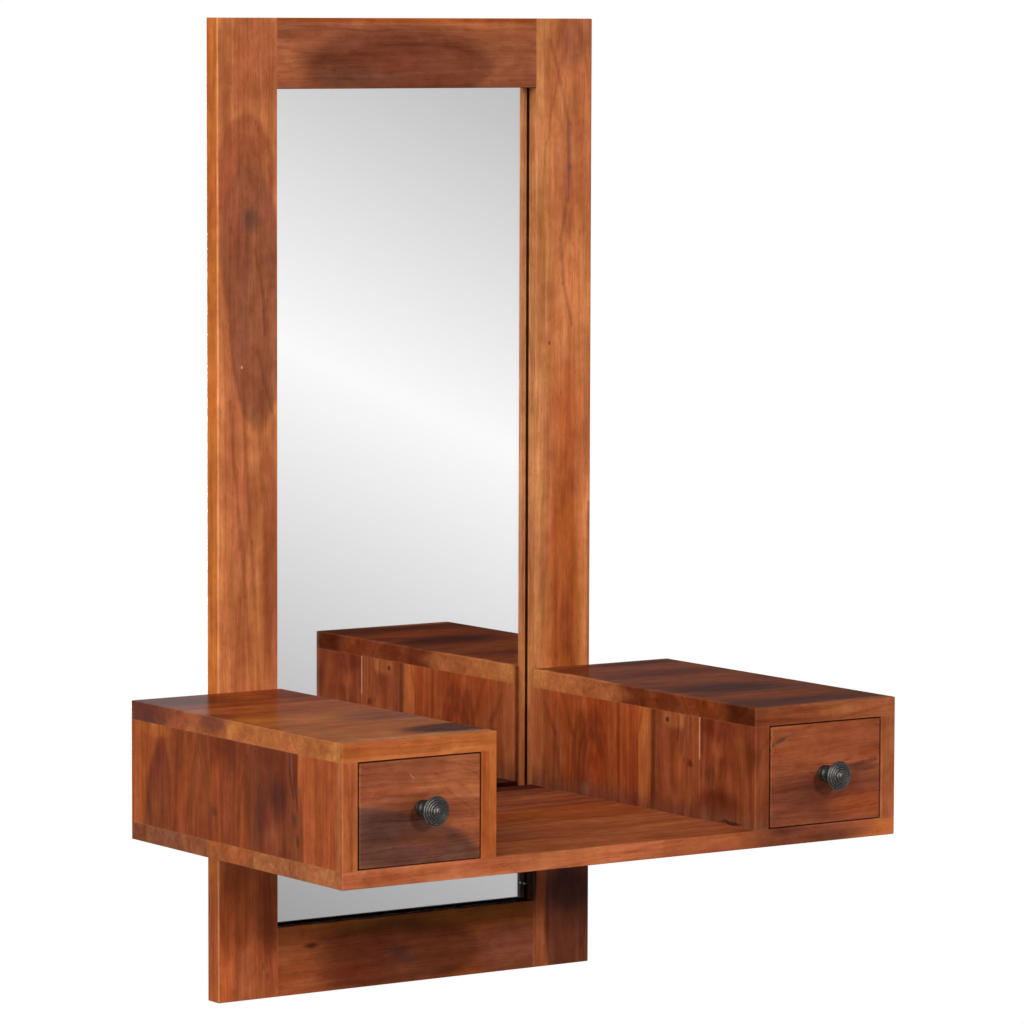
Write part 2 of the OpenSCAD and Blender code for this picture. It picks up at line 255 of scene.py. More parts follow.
def makeFloor():
    # a pale floor far under the hung mirror, which fades to the white around it
    material, add = newMaterial("paleFloorPaint")
    place = add("TexCoord")["Object"]
    far = add("VectorMath LENGTH", place)["Value"]
    radius = floorSettings["radius"] * mm
    fadeFrom = floorSettings["fadeFrom"] * mm
    edge = add("MapRange", far, interpolation_type="SMOOTHSTEP", bounds=(fadeFrom, radius))[0]
    speck = add("TexNoise", {"Vector": place, "Scale": 60.0, "Detail": 3.0})[0]
    stops = [(at, hexColour(code)) for at, code in zip((0.3, 0.7), floorSettings["tones"])]
    tone = add("ValToRGB", speck, stops=stops)[0]
    paint = add("BsdfDiffuse", {"Color": tone, "Roughness": 0.6})[0]
    clear = add("BsdfTransparent")[0]
    add("OutputMaterial", add("MixShader", edge, paint, clear)[0])
    bpy.ops.object.select_all(action="DESELECT")
    bpy.ops.mesh.primitive_circle_add(vertices=96, radius=radius, fill_type="NGON",
                                      location=(0, 0, floorSettings["height"] * mm))
    floor = bpy.context.object
    floor.name = "floor"
    bpy.ops.object.transform_apply(location=True)
    floor.data.materials.append(material)


makeWorld()
for name, lamp in lamps.items():
    makeLamp(name, lamp)
makeFloor()
print("studio set")


# One board's wood, cut from a log whose heart lies somewhere beside or in the board: rings
# nest round the heart, so faces show arches and edges show lines. A board may be glued up
# from staves, each with its own tones and heart. Heartwood, knots and veins are placed one by
# one. Places are (along the grain, across it, deep), in millimetres.
boardLook = {
    "axes": "ZXY",  # the board's own directions: along the grain, across it, and deep
    "stretch": 16,  # how much longer than wide the ring shells are
    "bandWidth": 7.0,
    "contrast": 0.55,
    "warp": 5.0,
    "veins": 0.14,
    "seam": 0.12,
    "rub": 0.15,  # how far worn lacquer shows along the arrises, and on what width
    "rubWidth": 1.3,
    "rubTone": "d79a6a",
    "endTint": (0.85, 0.80, 0.76),  # what end grain does to the stain
    "coat": 0.14,
    "coatRough": 0.22,
    "patches": [],
}
# What all boards share. Sizes are along the grain, across it and deep; tones multiply the
# stain. The finest fibres and the pores are drawn two or three times as wide as real ones,
# so that they show.
figure = {
    "heartReach": 2000,  # every heart lies nearer than this
    "seed": (3.1, 3.7, 2.9),  # sets each stave's noise apart from its neighbours'
    "wobble": ((38, 11, 11), (1.2, 0.42, 0.42)),  # sizes, and push as shares of the warp
    "drift": ((170, 42, 42), (6, 2, 2)),
    "calm": (420, 130, 130),  # how far a ring keeps its tone
    "bands": {"broad": (2.6, 1.0), "fine": (0.55, 2.0), "vein": (3.4, 0.0)},  # width, detail
    "broadStep": (0.38, 0.62),
    "fineTone": (0.90, 1.10),
    "veinWidth": (0.003, 0.02),
    "streaks": [(240, 5.5, 0.90, 1.10), (90, 1.9, 0.91, 1.08), (34, 0.8, 0.94, 1.05)],
    "clouds": [(75, 22, 0.87, 1.13), (24, 9, 0.90, 1.10), (12, 15, 0.93, 1.07)],
    "pores": {"sizes": (7, 0.7, 0.7), "share": (0.66, 0.75), "tone": 0.80},
    "seamWidth": (0.2, 0.8),
    "deeper": (1.0, 1.35, 1.7),  # deeper stain turns redder: a power for red, green and blue
    "hueDrift": (0.10, 0.34, 0.40),  # from orange to red-brown, as shares of the channels
    "endFacing": (0.5, 0.9),
    "rough": (0.38, 0.5),
    "relief": {"fibre": 0.35, "strength": 0.35, "depth": 0.12},
}
streakSpan = (0.28, 0.72)  # between these lie nearly all of a noise's values
noiseSpan = (0.3, 0.7)


def stave(start, light, dark, heart):
    # a strip of the board, from this place across it to the next one's
    return {"from": start, "light": light, "dark": dark, "heart": heart}


def spot(along, across, length, width, tint, amount=0.75, soft=0.5, turn=0, deep=0, thick=2000):
    # an oval of another colour, as deep as the board unless thick says less
    return {"at": (along, across, deep), "size": (length, width, thick), "tint": tint,
            "amount": amount, "soft": soft, "turn": turn}


def arch(along, across, length, width, rim, tint, amount=0.5, half=0):
    # the outline of such an oval, or of one half of it: a ring of the figure
    return {**spot(along, across, length, width, tint, amount, 0.8), "rim": rim, "half": half}


def line(points, width, tint, amount=0.55):
    # a thin line in the grain, through places on the board's face
    parts = []
    for start, end in zip(points, points[1:]):
        run = (end[0] - start[0], end[1] - start[1])
        part = spot((start[0] + end[0]) / 2, (start[1] + end[1]) / 2, 1, 1, tint, amount, 0.7,
                    math.degrees(math.atan2(run[1], run[0])))
        parts.append({**part, "run": math.hypot(*run) / 2, "size": (width, width, width)})
    return parts


def staveRamps(add, staves, where, start, end):
    # each stave's two tones and its heart, told apart by the place across the board
    reach = figure["heartReach"]
    ramps = []
    for part in ("light", "dark", "heart"):
        stops = []
        for strip in staves:
            at = max(0.0, (strip["from"] - start) / (end - start))
            if part == "heart":
                value = (*[(v + reach) / (2 * reach) for v in strip["heart"]], 1.0)
            else:
                value = hexColour(strip[part])
            stops.append((at, value))
        if len(stops) == 1:
            stops.append((1.0, stops[0][1]))
        ramps.append(add("ValToRGB", where, stops=stops, stopKind="CONSTANT")[0])
    light, dark, heart = ramps
    heart = add("VectorMath MULTIPLY_ADD", heart, (2 * reach,) * 3, (-reach,) * 3)[0]
    return light, dark, heart


def addPatch(add, patch, place, colour):
    # one patch's tint over the colour: inside an oval, on its rim, or along a straight run
    turn = (0, 0, math.radians(patch["turn"]))
    reach = add("Mapping", place, patch["at"], turn, patch["size"], vector_type="TEXTURE")[0]
    ahead = reach
    if "run" in patch:
        run = (patch["run"] / patch["size"][0], 0, 1e5)  # as deep as the board
        reach = add("VectorMath ABSOLUTE", reach)[0]
        reach = add("VectorMath SUBTRACT", reach, run)[0]
        reach = add("VectorMath MAXIMUM", reach, (0, 0, 0))[0]
    reach = add("VectorMath LENGTH", reach)["Value"]
    if "rim" in patch:
        reach = add("Math SUBTRACT", reach, 1.0)[0]
        reach = add("Math ABSOLUTE", reach)[0]
        reach = add("Math DIVIDE", reach, patch["rim"])[0]
    soft = patch["soft"]
    inside = add("MapRange", reach, interpolation_type="SMOOTHSTEP",
                 bounds=(1 + soft, 1 - soft, 0.0, patch["amount"]))[0]
    if patch.get("half"):
        ahead = add("SeparateXYZ", ahead)[0]
        ahead = add("MapRange", ahead, bounds=(-0.1 * patch["half"], 0.1 * patch["half"]))[0]
        inside = add("Math MULTIPLY", inside, ahead)[0]
    return add("MixRGB", inside, colour, hexColour(patch["tint"]))[0]


def stainDepth(add, look, bands, flow, across):
    # lines along the rings, veins, streaks, pores, clouds and the glue lines between staves
    shades = [add("MapRange", bands["fine"], bounds=(*noiseSpan, *figure["fineTone"]))[0]]
    crossing = add("Math SUBTRACT", bands["vein"], 0.5)[0]
    crossing = add("Math ABSOLUTE", crossing)[0]
    shades.append(add("MapRange", crossing, bounds=(*figure["veinWidth"], 1 - look["veins"], 1.0))[0])
    for length, width, least, most in figure["streaks"]:
        fibre = stretchedNoise(add, flow, (length, width, width), 1.0)[0]
        shades.append(add("MapRange", fibre, bounds=(*streakSpan, least, most))[0])
    pores = figure["pores"]
    pore = stretchedNoise(add, flow, pores["sizes"], 0.0)[0]
    poreTone = add("MapRange", pore, bounds=(*pores["share"], 1.0, pores["tone"]))[0]
    shades.append(poreTone)
    clouds = []
    for length, width, least, most in figure["clouds"]:
        clouds.append(stretchedNoise(add, flow, (length, width, width), 2.0))
        shades.append(add("MapRange", clouds[-1][0], bounds=(*noiseSpan, least, most))[0])
    for strip in look["staves"][1:]:
        gap = add("Math SUBTRACT", across, float(strip["from"]))[0]
        gap = add("Math ABSOLUTE", gap)[0]
        shades.append(add("MapRange", gap, bounds=(*figure["seamWidth"], 1 - look["seam"], 1.0))[0])
    shade = shades[0]
    for part in shades[1:]:
        shade = add("Math MULTIPLY", shade, part)[0]
    return shade, fibre, poreTone, clouds


def arrisRub(add, look, place, low, high):
    # how much the lacquer is rubbed, from the two nearest faces of the board's box
    half = [(high[i] - low[i]) / 2 for i in range(3)]
    mid = [(high[i] + low[i]) / 2 for i in range(3)]
    centred = add("VectorMath SUBTRACT", place, mid)[0]
    centred = add("VectorMath ABSOLUTE", centred)[0]
    inset = add("VectorMath SUBTRACT", half, centred)[0]
    depth = add("SeparateXYZ", inset)
    smaller = add("Math MINIMUM", depth[0], depth[1])[0]
    larger = add("Math MAXIMUM", depth[0], depth[1])[0]
    second = add("Math MINIMUM", larger, depth[2])[0]
    second = add("Math MAXIMUM", smaller, second)[0]
    return add("MapRange", second, bounds=(0.0, look["rubWidth"] * mm, look["rub"], 0.0))[0]


def woodMaterial(node, look):
    # close-grained hardwood, stained and sprayed with satin lacquer: deep warm colour with
    # ringed figure under a thin coat, which keeps soft highlights
    material, add = newMaterial("lacqueredWood_" + node)
    low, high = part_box(node)
    place = add("TexCoord")
    axes = add("SeparateXYZ", place["Object"])
    order = ["XYZ".index(letter) for letter in look["axes"]]
    grain = add("CombineXYZ", *[axes[i] for i in order])[0]
    grain = add("VectorMath SCALE", grain, {"Scale": 1 / mm})[0]
    across = add("SeparateXYZ", grain)[1]
    start, end = low[order[1]] / mm, high[order[1]] / mm
    where = add("MapRange", across, bounds=(start, end))[0]
    light, dark, heart = staveRamps(add, look["staves"], where, start, end)

    # the grain's small wobble and its slow drift; what is placed one by one only wobbles
    seeded = add("VectorMath MULTIPLY_ADD", heart, figure["seed"], grain)[0]
    moved = [grain]
    for sizes, push in (figure["wobble"], figure["drift"]):
        drift = stretchedNoise(add, seeded, sizes, 2.0)["Color"]
        drift = add("VectorMath SUBTRACT", drift, (0.5, 0.5, 0.5))[0]
        push = tuple(look["warp"] * share for share in push)
        moved.append(add("VectorMath MULTIPLY_ADD", drift, push, moved[-1])[0])
    rippled, bent = moved[1:]

    # rings round the heart
    fromHeart = add("VectorMath SUBTRACT", bent, heart)[0]
    shell = add("VectorMath MULTIPLY", fromHeart, (1 / look["stretch"], 1.0, 1.0))[0]
    ring = add("VectorMath LENGTH", shell)["Value"]
    ringPlace = add("CombineXYZ", ring)[0]
    calm = tuple(1 / size for size in figure["calm"])
    calm = add("VectorMath MULTIPLY", seeded, calm)[0]
    bands = {}
    for part, (share, detail) in figure["bands"].items():
        width = look["bandWidth"] * share
        within = add("VectorMath MULTIPLY_ADD", ringPlace, (1 / width, 1.0, 1.0), calm)[0]
        bands[part] = add("TexNoise", {"Vector": within, "Scale": 1.0, "Detail": detail})[0]
    tone = add("MapRange", bands["broad"], interpolation_type="SMOOTHSTEP",
               bounds=(*figure["broadStep"], 0.0, look["contrast"]))[0]
    colour = add("MixRGB", tone, light, dark)[0]
    for patch in look["patches"]:
        colour = addPatch(add, patch, rippled, colour)

    flow = add("VectorMath MULTIPLY_ADD", heart, figure["seed"], bent)[0]
    shade, fibre, poreTone, clouds = stainDepth(add, look, bands, flow, across)
    stain = [add("Math POWER", shade, power)[0] for power in figure["deeper"]]
    stain = add("CombineXYZ", *stain)[0]
    colour = add("VectorMath MULTIPLY", colour, stain)[0]
    least = tuple(1 - share / 2 for share in figure["hueDrift"])
    hue = add("VectorMath MULTIPLY_ADD", clouds[0]["Color"], figure["hueDrift"], least)[0]
    colour = add("VectorMath MULTIPLY", colour, hue)[0]

    # end grain drinks the stain differently
    facing = add("SeparateXYZ", place["Normal"])[order[0]]
    facing = add("Math ABSOLUTE", facing)[0]
    facing = add("MapRange", facing, bounds=figure["endFacing"])[0]
    endGrain = add("VectorMath MULTIPLY", colour, look["endTint"])[0]
    colour = add("MixRGB", facing, colour, endGrain)[0]

    cloudy = clouds[-1][0]
    rub = arrisRub(add, look, place["Object"], low, high)
    rubbed = add("Math MULTIPLY", rub, cloudy)[0]
    colour = add("MixRGB", rubbed, colour, hexColour(look["rubTone"]))[0]

    relief = figure["relief"]
    raised = add("Math MULTIPLY_ADD", fibre, relief["fibre"], poreTone)[0]
    bump = add("Bump", {"Strength": relief["strength"], "Distance": relief["depth"] * mm,
                        "Height": raised})[0]
    rough = add("MapRange", cloudy, bounds=(*noiseSpan, *figure["rough"]))[0]
    # the lacquer fills the wood, which has no gloss of its own under it
    surface = add("BsdfPrincipled", {
        "Base Color": colour, "Roughness": rough, "IOR": 1.5, "Specular IOR Level": 0.0, "Normal": bump,
        "Coat Weight": look["coat"], "Coat Roughness": look["coatRough"], "Coat IOR": 1.5})[0]
    add("OutputMaterial", surface)
    return material


leftStile = {
    "axes": "ZXY", "stretch": 15, "bandWidth": 7,
    "staves": [stave(-208, "caramel", "cinnamon", (-260, -176, 38))],
    "patches": [
        spot(20, -176, 46, 50, "tan", 0.7, 0.4),
        spot(-87, -178, 60, 31, "tan", 0.9, 0.08),
        spot(-150, -174, 78, 31, "leather", 0.9, 0.08),
        spot(-214, -169, 103, 28, "leather", 0.9, 0.08, -3),
        spot(-110, -190, 30, 6, "cinnamon", 0.6),
        spot(-123, -173, 10, 8, "umber", 0.75, 0.6),
        *line([(-150, -168), (-190, -160), (-230, -157)], 1.6, "cocoa", 0.4),
        spot(-220, -182, 42, 4, "clay", 0.6),
        *line([(-245, -165), (-300, -150)], 1.8, "cocoa", 0.4),
        arch(-180, -173, 122, 22, 0.05, "clay", 0.3),
        spot(-600, -205, 330, 10, "caramel", 0.8, 0.3),
        *line([(-290, -195), (-400, -185), (-470, -178), (-557, -172)], 2.0, "sienna", 0.45),
        *line([(-300, -180), (-420, -172), (-557, -164)], 1.8, "sienna", 0.4),
        *line([(-310, -164), (-430, -156), (-557, -152)], 1.6, "sienna", 0.35),
        spot(-450, -150, 90, 10, "sienna", 0.7),
        spot(-400, -209, 700, 2.2, "amber", 0.85, 0.3),
        # Under the shelf these tints give the wood its tones and also paint in its light and shade: redder
        # and deeper in the shelf's shadow, painted shade just under the shelf on the right, and paler
        # where light from the left reaches the lower part.
        spot(-790, -176, 85, 45, "russet", 0.85, 0.25),
        spot(-790, -200, 60, 9, "terracotta", 0.85, 0.4),
        spot(-825, -180, 26, 12, "tan", 0.8, 0.5),
        spot(-765, -155, 42, 13, "nutmeg", 0.9, 0.5),
        spot(-828, -156, 24, 12, "sienna", 0.8, 0.5),
        spot(-400, -208, 700, 1.5, "rubbed", 0.55, 0.5, deep=-19, thick=1.5),
        spot(-815, -160, 4, 1.5, "cocoa", 0.7),
        spot(-825, -155, 4, 1.5, "cocoa", 0.7),
        spot(-258, -182, 1.5, 1, "rubbed", 0.8),
    ],
}
rightStile = {
    "axes": "ZXY", "stretch": 18, "bandWidth": 8,
    "staves": [stave(144, "caramel", "cinnamon", (-700, 190, 30))],
    "patches": [
        spot(42, 186, 26, 18, "leather", 0.7),
        spot(-240, 150, 330, 9, "straw", 0.7, 0.3),
        *line([(40, 160), (0, 172), (-40, 182)], 2.0, "leather"),
        *line([(-40, 182), (-80, 182), (-110, 180)], 2.6, "mauve", 0.65),
        *line([(-110, 180), (-150, 172), (-190, 176), (-230, 186)], 1.8, "leather"),
        spot(-157, 182, 9, 3, "wheat", 0.7),
        spot(-246, 160, 2, 1.5, "cocoa", 0.7),
        spot(-310, 182, 42, 13, "terracotta", 0.7),
        spot(-480, 178, 150, 18, "henna", 0.75),
        arch(-620, 178, 120, 10, 0.12, "nutmeg", 0.5, 1),
        arch(-640, 178, 110, 17, 0.08, "nutmeg", 0.4, 1),
        *line([(-400, 206), (-557, 206)], 1.6, "cocoa", 0.6),
        spot(-790, 151, 85, 9, "sienna", 0.85, 0.3),
        # painted shade at the top of the pale strip, just under the shelf
        spot(-768, 150, 18, 8, "nutmeg", 0.8, 0.5),
        spot(-790, 184, 120, 27, "bark", 0.9, 0.1),
        # painted shadow of the shelf over the heartwood's upper part
        spot(-772, 184, 22, 24, "smoke", 0.85, 0.4),
        # painted shade on the inner edge beside the rebate, under the shelf
        spot(-735, 144, 48, 3.5, "pitch", 0.95, 0.2),
    ],
}
topRail = {
    "axes": "XZY", "stretch": 12, "bandWidth": 6,
    "staves": [stave(-5, "cinnamon", "clay", (0, 22, 26))],
    "patches": [
        spot(-12, 15, 106, 36, "cocoa", 0.8, 0.2),
        spot(-78, 22, 30, 8, "walnut", 0.4, 0.7),
        spot(-62, 6, 40, 8, "umber", 0.5, 0.7),
        spot(0, 60, 400, 4, "henna", 0.8, 0.4),
        arch(6, 14, 84, 22, 0.08, "walnut", 0.3),
    ],
}
bottomRail = {
    "axes": "XZY", "stretch": 12, "bandWidth": 6, "coat": 0.05,
    "staves": [stave(-845, "chestnut", "clove", (0, -817, 24))],
    "patches": [
        spot(118, -826, 42, 26, "clay", 0.8, 0.5),
        spot(-20, -818, 104, 34, "walnut", 0.9, 0.15),
        spot(-128, -820, 36, 44, "saddle", 0.8, 0.7),
        spot(-62, -828, 30, 8, "mahogany", 0.6, 0.7),
        # painted shade: a dark band along the top, just under the shelf
        spot(30, -786, 120, 9, "olive", 0.55, 0.7),
        spot(-107, -800, 7, 2.6, "pitch", 0.75, 0.7),
        spot(-8, -817, 17, 6, "ash", 0.55, 0.8, -25),
        # painted shadow on the lip's top and the front's upper edge
        spot(0, -779, 400, 1.6, "pitch", 0.9, 0.3),
    ],
}
shelfBoard = {
    "axes": "XYZ", "stretch": 20, "bandWidth": 8, "endTint": (0.94, 1.06, 0.98),
    "staves": [
        stave(-375, "toffee", "tan", (-300, -335, -650)),
        stave(-290, "toffee", "tan", (400, -255, -700)),
        stave(-230, "terracotta", "saddle", (-100, -163, -640)),
        stave(-150, "tan", "clay", (200, -60, -690)),
        # the back stave's dark tones paint in the shade at the back of the shelf top
        stave(-45, "bark", "tar", (100, -30, -655)),
    ],
    "patches": [
        spot(192, -377, 66, 30, "cocoa", 0.85, deep=-676, thick=40),
        spot(176, -377, 20, 5, "bark", 0.7, 0.5, deep=-670, thick=5),
        spot(226, -377, 26, 5, "walnut", 0.6, 0.5, deep=-680, thick=5),
        # a paler tone that keeps the back stave's painted shade off the left end
        spot(-297, -32, 14, 16, "sienna", 0.85, 0.3),
        spot(85, -377, 50, 30, "saddle", 0.75, 0.6, deep=-676, thick=40),
        spot(-60, -48, 70, 30, "tar", 0.5, 0.7),
        spot(290, -377, 16, 12, "honey", 0.7),
    ],
}
leftBoxOuterSide = {
    "axes": "ZYX", "stretch": 9, "bandWidth": 6, "coat": 0.11,
    "staves": [
        stave(-375, "terracotta", "russet", (-500, -425, -310)),
        stave(-303, "nutmeg", "mahogany", (-640, -262, -330)),
        stave(-225, "russet", "nutmeg", (-700, -215, -300)),
        stave(-180, "russet", "chestnut", (-800, -140, -290)),
        stave(-87, "copper", "russet", (-500, -62, -330)),
    ],
    "patches": [
        spot(-579, -62, 7, 24, "honey", 0.6),
        spot(-620, -23, 60, 5, "brick", 0.6),
        spot(-657, -64, 72, 22, "nutmeg", 0.92, 0.14, -8),
        spot(-606, -67, 15, 8, "mahogany", 0.6, 0.7),
        spot(-590, -73, 5, 4, "ember", 0.6),
        spot(-642, -163, 12, 16, "sienna", 0.5),
        spot(-641, -164, 4, 5, "clove", 0.6),
        spot(-578, -185, 20, 36, "rust", 0.6, 0.8),
        *line([(-575, -154), (-603, -155)], 2, "copper", 0.4),
        spot(-586, -220, 2.5, 2.5, "bark", 0.6, 0.8),
        spot(-625, -226, 90, 10, "chestnut", 0.6, 0.8),
        spot(-630, -242, 26, 9, "bark", 0.75, 0.6),
        spot(-615, -271, 18, 14, "bark", 0.8, 0.6),
        spot(-578, -256, 14, 14, "mahogany", 0.7),
        spot(-655, -268, 14, 18, "sienna", 0.7),
        spot(-692, -303, 92, 11, "sienna", 0.9, 0.1),
        *line([(-574, -289), (-592, -290), (-612, -296)], 1.6, "smoke", 0.6),
        *line([(-574, -296), (-600, -298), (-625, -304)], 1.3, "bark", 0.5),
        spot(-632, -297, 6, 3.5, "tar", 0.5, 0.8),
        spot(-650, -303, 6, 3, "olive", 0.6),
        spot(-650, -290, 9, 6, "chestnut", 0.5),
        spot(-620, -371, 80, 4, "straw", 0.5),
        spot(-620, -378, 80, 3.8, "saddle", 0.7, 0.3),
    ],
}
leftBoxInnerSide = {
    "axes": "ZYX", "stretch": 9, "bandWidth": 6,
    "staves": [
        stave(-375, "copper", "russet", (-500, -405, -110)),
        stave(-272, "sienna", "cocoa", (-640, -230, -170)),
        stave(-160, "saddle", "nutmeg", (-700, -120, -130)),
        stave(-80, "sienna", "cocoa", (-500, -50, -170)),
    ],
}
rightBoxInnerSide = {
    "axes": "ZYX", "stretch": 5, "bandWidth": 6,
    "staves": [
        stave(-375, "sienna", "mahogany", (-700, -335, 160)),
        stave(-291.5, "saddle", "nutmeg", (-500, -255, 120)),
        stave(-214, "honey", "cinnamon", (-900, -250, 130)),
        stave(-195.5, "brick", "sienna", (-640, -100, 158)),
    ],
    "patches": [
        spot(-620, -27, 70, 14, "toffee", 0.7),
        spot(-640, -62, 40, 12, "cinnamon", 0.6),
        *line([(-588, -42), (-615, -60), (-668, -70)], 3, "mahogany", 0.4),
        *line([(-574, -70), (-610, -88), (-660, -95)], 3, "mahogany", 0.4),
        arch(-668, -123, 78, 27, 0.08, "mahogany", 0.5, 1),
        arch(-668, -123, 66, 20, 0.1, "mahogany", 0.45, 1),
        arch(-668, -125, 54, 13, 0.13, "mahogany", 0.4, 1),
        spot(-611, -122, 4, 3, "clove", 0.6, 0.8),
        spot(-621, -131, 4, 3.5, "henna", 0.7, 0.8),
        spot(-635, -124, 8, 5, "ember", 0.6),
        spot(-620, -152, 60, 7, "terracotta", 0.6),
        *line([(-574, -161), (-668, -163)], 2.6, "mahogany", 0.45),
        *line([(-574, -218), (-668, -218)], 3, "walnut", 0.65),
        *line([(-574, -203), (-655, -206)], 1.4, "caramel", 0.5),
        spot(-580, -252, 8, 16, "caramel", 0.6),
        *line([(-578, -258), (-600, -256)], 1.2, "cocoa"),
        *line([(-578, -268), (-604, -270)], 1.6, "cocoa"),
        spot(-581, -240, 2.5, 3, "smoke", 0.9),
        spot(-619, -276, 3.5, 4, "rust", 0.85),
        spot(-617, -266, 3, 1.5, "walnut", 0.7),
        spot(-624, -257, 14, 9, "copper", 0.6),
        *line([(-575, -290), (-612, -290)], 1.0, "rubbed", 0.8),
        *line([(-612, -290), (-650, -290)], 1.0, "caramel", 0.5),
        *line([(-574, -294), (-606, -294)], 1.8, "walnut", 0.65),
        spot(-580, -318, 12, 26, "rust", 0.6),
        arch(-588, -320, 24, 20, 0.2, "mahogany", 0.25),
        spot(-604, -368, 14, 6, "clove", 0.8, 0.6),
        spot(-625, -307, 10, 8, "walnut", 0.6),
        spot(-652, -318, 16, 28, "oxblood", 0.7),
        spot(-634, -356, 8, 12, "saddle", 0.5),
        # painted shade along the bottom, where the box side meets the shelf
        spot(-671, -200, 16, 400, "clay", 0.75, 0.7),
        spot(-661, -107, 6, 7, "dust", 0.7, 0.7),
        spot(-665.5, -338, 1.6, 15, "tar", 0.8, 0.6),
    ],
}
rightBoxOuterSide = {
    "axes": "ZYX", "stretch": 9, "bandWidth": 6,
    "staves": [
        stave(-375, "cinnamon", "sienna", (-500, -405, 320)),
        stave(-288, "cinnamon", "sienna", (-640, -240, 330)),
        stave(-170, "chestnut", "walnut", (-700, -120, 270)),
        stave(-95, "cinnamon", "saddle", (-500, -30, 330)),
    ],
}
leftBoxTop = {
    "axes": "XYZ", "stretch": 9, "bandWidth": 7, "endTint": (1.0, 1.04, 1.0), "coat": 0.26,
    "staves": [
        stave(-375, "honey", "copper", (-200, -335, -530)),
        stave(-274, "honey", "copper", (-100, -220, -600)),
        stave(-184, "copper", "russet", (-260, -150, -580)),
        stave(-113, "brick", "nutmeg", (-200, -90, -540)),
    ],
    "patches": [
        spot(-272, -40, 52, 42, "oxblood", 0.85, 0.5),
        spot(-300, -160, 20, 22, "mahogany", 0.7, 0.4, deep=-560, thick=12),
        spot(-150, -333, 62, 26, "oxblood", 0.92, 0.3, deep=-557, thick=6),
        spot(-158, -62, 24, 24, "walnut", 0.6, 0.6, deep=-557, thick=8),
        spot(-160, -235, 50, 34, "mauve", 0.6, 0.5, deep=-557, thick=8),
        spot(-220, -366, 90, 9, "wheat", 0.7),
        spot(-220, -377, 90, 6, "copper", 0.8, 0.4, deep=-566, thick=14),
    ],
}
rightBoxTop = {
    "axes": "XYZ", "stretch": 9, "bandWidth": 7, "coat": 0.06,
    "staves": [
        stave(-375, "clove", "bark", (200, -335, -530)),
        stave(-295, "nutmeg", "bark", (100, -220, -600)),
        stave(-170, "sienna", "clove", (260, -120, -580)),
    ],
    "patches": [
        spot(141, -90, 8, 84, "caramel", 0.9, 0.2, deep=-566, thick=14),
        spot(141, -36, 6, 16, "wheat", 0.6, 0.5, deep=-566, thick=14),
        spot(141, -570, 2, 14, "cocoa", 0.6, deep=-573, thick=5),
        spot(141, -245, 8, 50, "sienna", 0.85, 0.4, deep=-566, thick=14),
        spot(141, -315, 8, 18, "sienna", 0.7, 0.5, deep=-566, thick=14),
        spot(215, -240, 62, 26, "tar", 0.75, 0.5),
        spot(215, -303, 80, 18, "henna", 0.7, 0.6),
        spot(240, -168, 60, 20, "chestnut", 0.8, 0.6),
        spot(235, -116, 90, 24, "oxblood", 0.6, 0.5),
        spot(250, -36, 60, 14, "tar", 0.7, 0.5),
        spot(190, -345, 80, 16, "oxblood", 0.5, 0.7),
        spot(270, -377, 70, 14, "cinnamon", 0.8, 0.4, deep=-566, thick=30),
        spot(180, -377, 44, 6, "sienna", 0.7, 0.5, deep=-566, thick=30),
    ],
}
leftDrawerFront = {
    "axes": "XZY", "stretch": 5, "bandWidth": 5, "warp": 9,
    "staves": [stave(-667, "saddle", "clay", (-225, -560, -335))],
    "patches": [
        spot(-165, -592, 46, 24, "cinnamon", 0.8),
        *line([(-262, -604), (-240, -607), (-214, -607)], 1.4, "nutmeg"),
        *line([(-205, -577), (-180, -583), (-158, -597)], 1.2, "sienna", 0.5),
        *line([(-205, -590), (-180, -599), (-158, -618)], 1.2, "sienna", 0.4),
        *line([(-192, -604), (-174, -618), (-158, -636)], 1.2, "chestnut", 0.4),
        spot(-284, -668, 134, 55, "umber", 0.92, 0.05, -5),
        spot(-262, -632, 26, 14, "ash", 0.6, 0.6),
        spot(-215, -646, 30, 9, "cocoa", 0.6, 0.6),
        spot(-250, -656, 30, 8, "umber", 0.5, 0.6),
        *line([(-231, -588), (-228, -592)], 0.7, "straw", 0.5),
        *line([(-282, -580), (-282, -612)], 0.6, "straw", 0.4),
        # painted shadow of the knob, deepening the lamp's own
        spot(-230, -629, 17, 13, "smoke", 0.5, 0.7),
    ],
}
rightDrawerFront = {
    "axes": "XZY", "stretch": 7, "bandWidth": 5, "warp": 9,
    "staves": [stave(-667, "tan", "sienna", (240, -590, -345))],
    "patches": [
        spot(215, -655, 120, 38, "cocoa", 0.8, 0.25),
        spot(200, -640, 45, 14, "walnut", 0.6, 0.6),
        spot(262, -652, 32, 12, "russet", 0.7, 0.6),
        *line([(243, -617), (262, -614), (277, -612)], 2.2, "cocoa", 0.75),
        spot(262, -619, 18, 4, "smoke", 0.7),
        spot(168, -588, 6, 2.4, "ash", 0.75, 0.6, 20),
        spot(160, -592, 3, 2.5, "umber"),
        spot(180, -584, 7, 1.4, "mauve", 0.6, 0.6, 10),
        *line([(158.8, -578), (158.8, -600)], 0.7, "straw", 0.35),
        # painted shadow of the knob, deepening the lamp's own
        spot(207, -632, 16, 13, "bark", 0.4, 0.7),
    ],
}
boards = {
    "frame_wood": {"left_stile": leftStile, "right_stile": rightStile, "top_rail": topRail,
                   "bottom_rail": bottomRail},
    "shelf_wood": {"shelf_board": shelfBoard},
    "box_wood": {"left_box_outer_side": leftBoxOuterSide, "left_box_inner_side": leftBoxInnerSide,
                 "right_box_inner_side": rightBoxInnerSide, "right_box_outer_side": rightBoxOuterSide,
                 "left_box_top": leftBoxTop, "right_box_top": rightBoxTop},
}
drawerFronts = {"left": leftDrawerFront, "right": rightDrawerFront}
